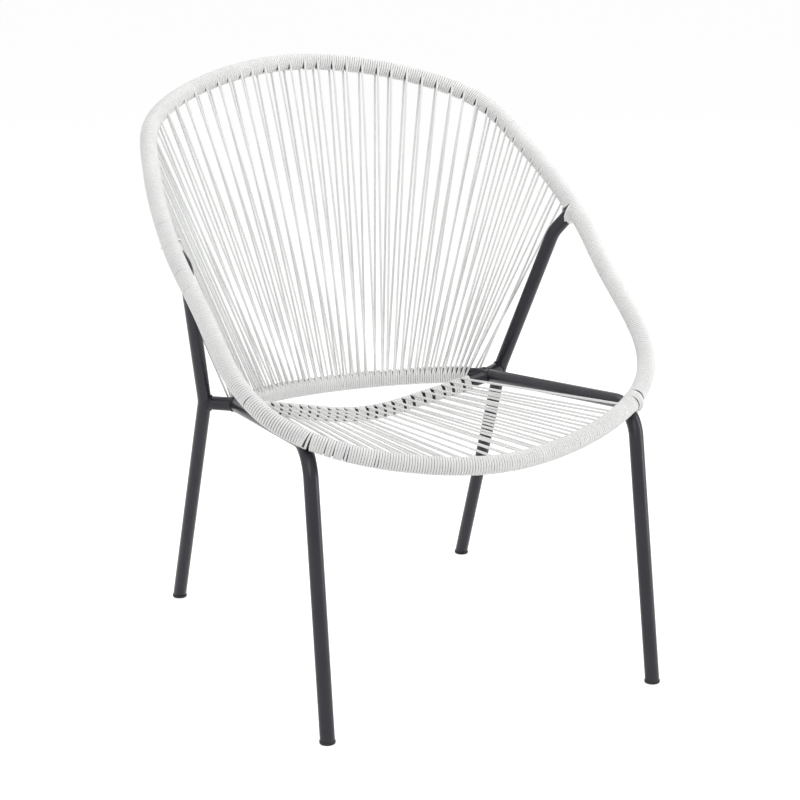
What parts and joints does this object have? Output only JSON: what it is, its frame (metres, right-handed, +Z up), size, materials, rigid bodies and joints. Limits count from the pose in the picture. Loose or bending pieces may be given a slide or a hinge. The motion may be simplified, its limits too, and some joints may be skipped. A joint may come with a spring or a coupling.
{
  "type": "acapulco chair",
  "caption": "Round patio lounge chair: charcoal steel tube frame on four legs, with a hoop rim and a seat and back strung with white cord.",
  "frame": {"origin": "on the floor, under the middle of the chair's overall box", "axes": "+Z up; -Y is the way the sitter faces; +X is the chair's side away from its left arm, to the right of someone who faces the seat"},
  "size_m": [0.6994, 0.7939, 0.8775],
  "materials": {
    "frame_steel": "satin charcoal powder coat over steel tube",
    "weld_steel": "weld bead under the same satin charcoal powder coat",
    "cap_plastic": "moulded black plastic, fine matt",
    "cord_plastic": "white extruded vinyl cord with a soft sheen"
  },
  "bodies": {
    "root": {"rim_tube": "frame_steel", "seat_frame": "frame_steel", "seat_rail": "frame_steel", "rear_leg_left": "frame_steel", "rear_leg_right": "frame_steel", "rear_stub_left": "frame_steel", "rear_stub_right": "frame_steel", "weld_rim_front_left": "weld_steel", "weld_rim_front_right": "weld_steel", "weld_rim_rear_left": "weld_steel", "weld_rim_rear_right": "weld_steel", "weld_stub_leg_left": "weld_steel", "weld_stub_leg_right": "weld_steel", "weld_stub_rail_left": "weld_steel", "weld_stub_rail_right": "weld_steel", "weld_seat_rail_left": "weld_steel", "weld_seat_rail_right": "weld_steel", "foot_cap_front_left": "cap_plastic", "foot_cap_front_right": "cap_plastic", "foot_cap_rear_left": "cap_plastic", "foot_cap_rear_right": "cap_plastic", "seat_cords_01": "cord_plastic", "seat_cords_02": "cord_plastic", "seat_cords_03": "cord_plastic", "seat_cords_04": "cord_plastic", "seat_cords_05": "cord_plastic", "seat_cords_06": "cord_plastic", "back_cords_01": "cord_plastic", "back_cords_02": "cord_plastic", "back_cords_03": "cord_plastic", "back_cords_04": "cord_plastic", "back_cords_05": "cord_plastic", "back_cords_06": "cord_plastic", "back_cords_07": "cord_plastic", "back_cords_08": "cord_plastic", "back_cords_09": "cord_plastic", "back_cords_10": "cord_plastic", "back_cords_11": "cord_plastic", "arm_winding_left": "cord_plastic", "arm_winding_right": "cord_plastic"}
  },
  "joints": []
}
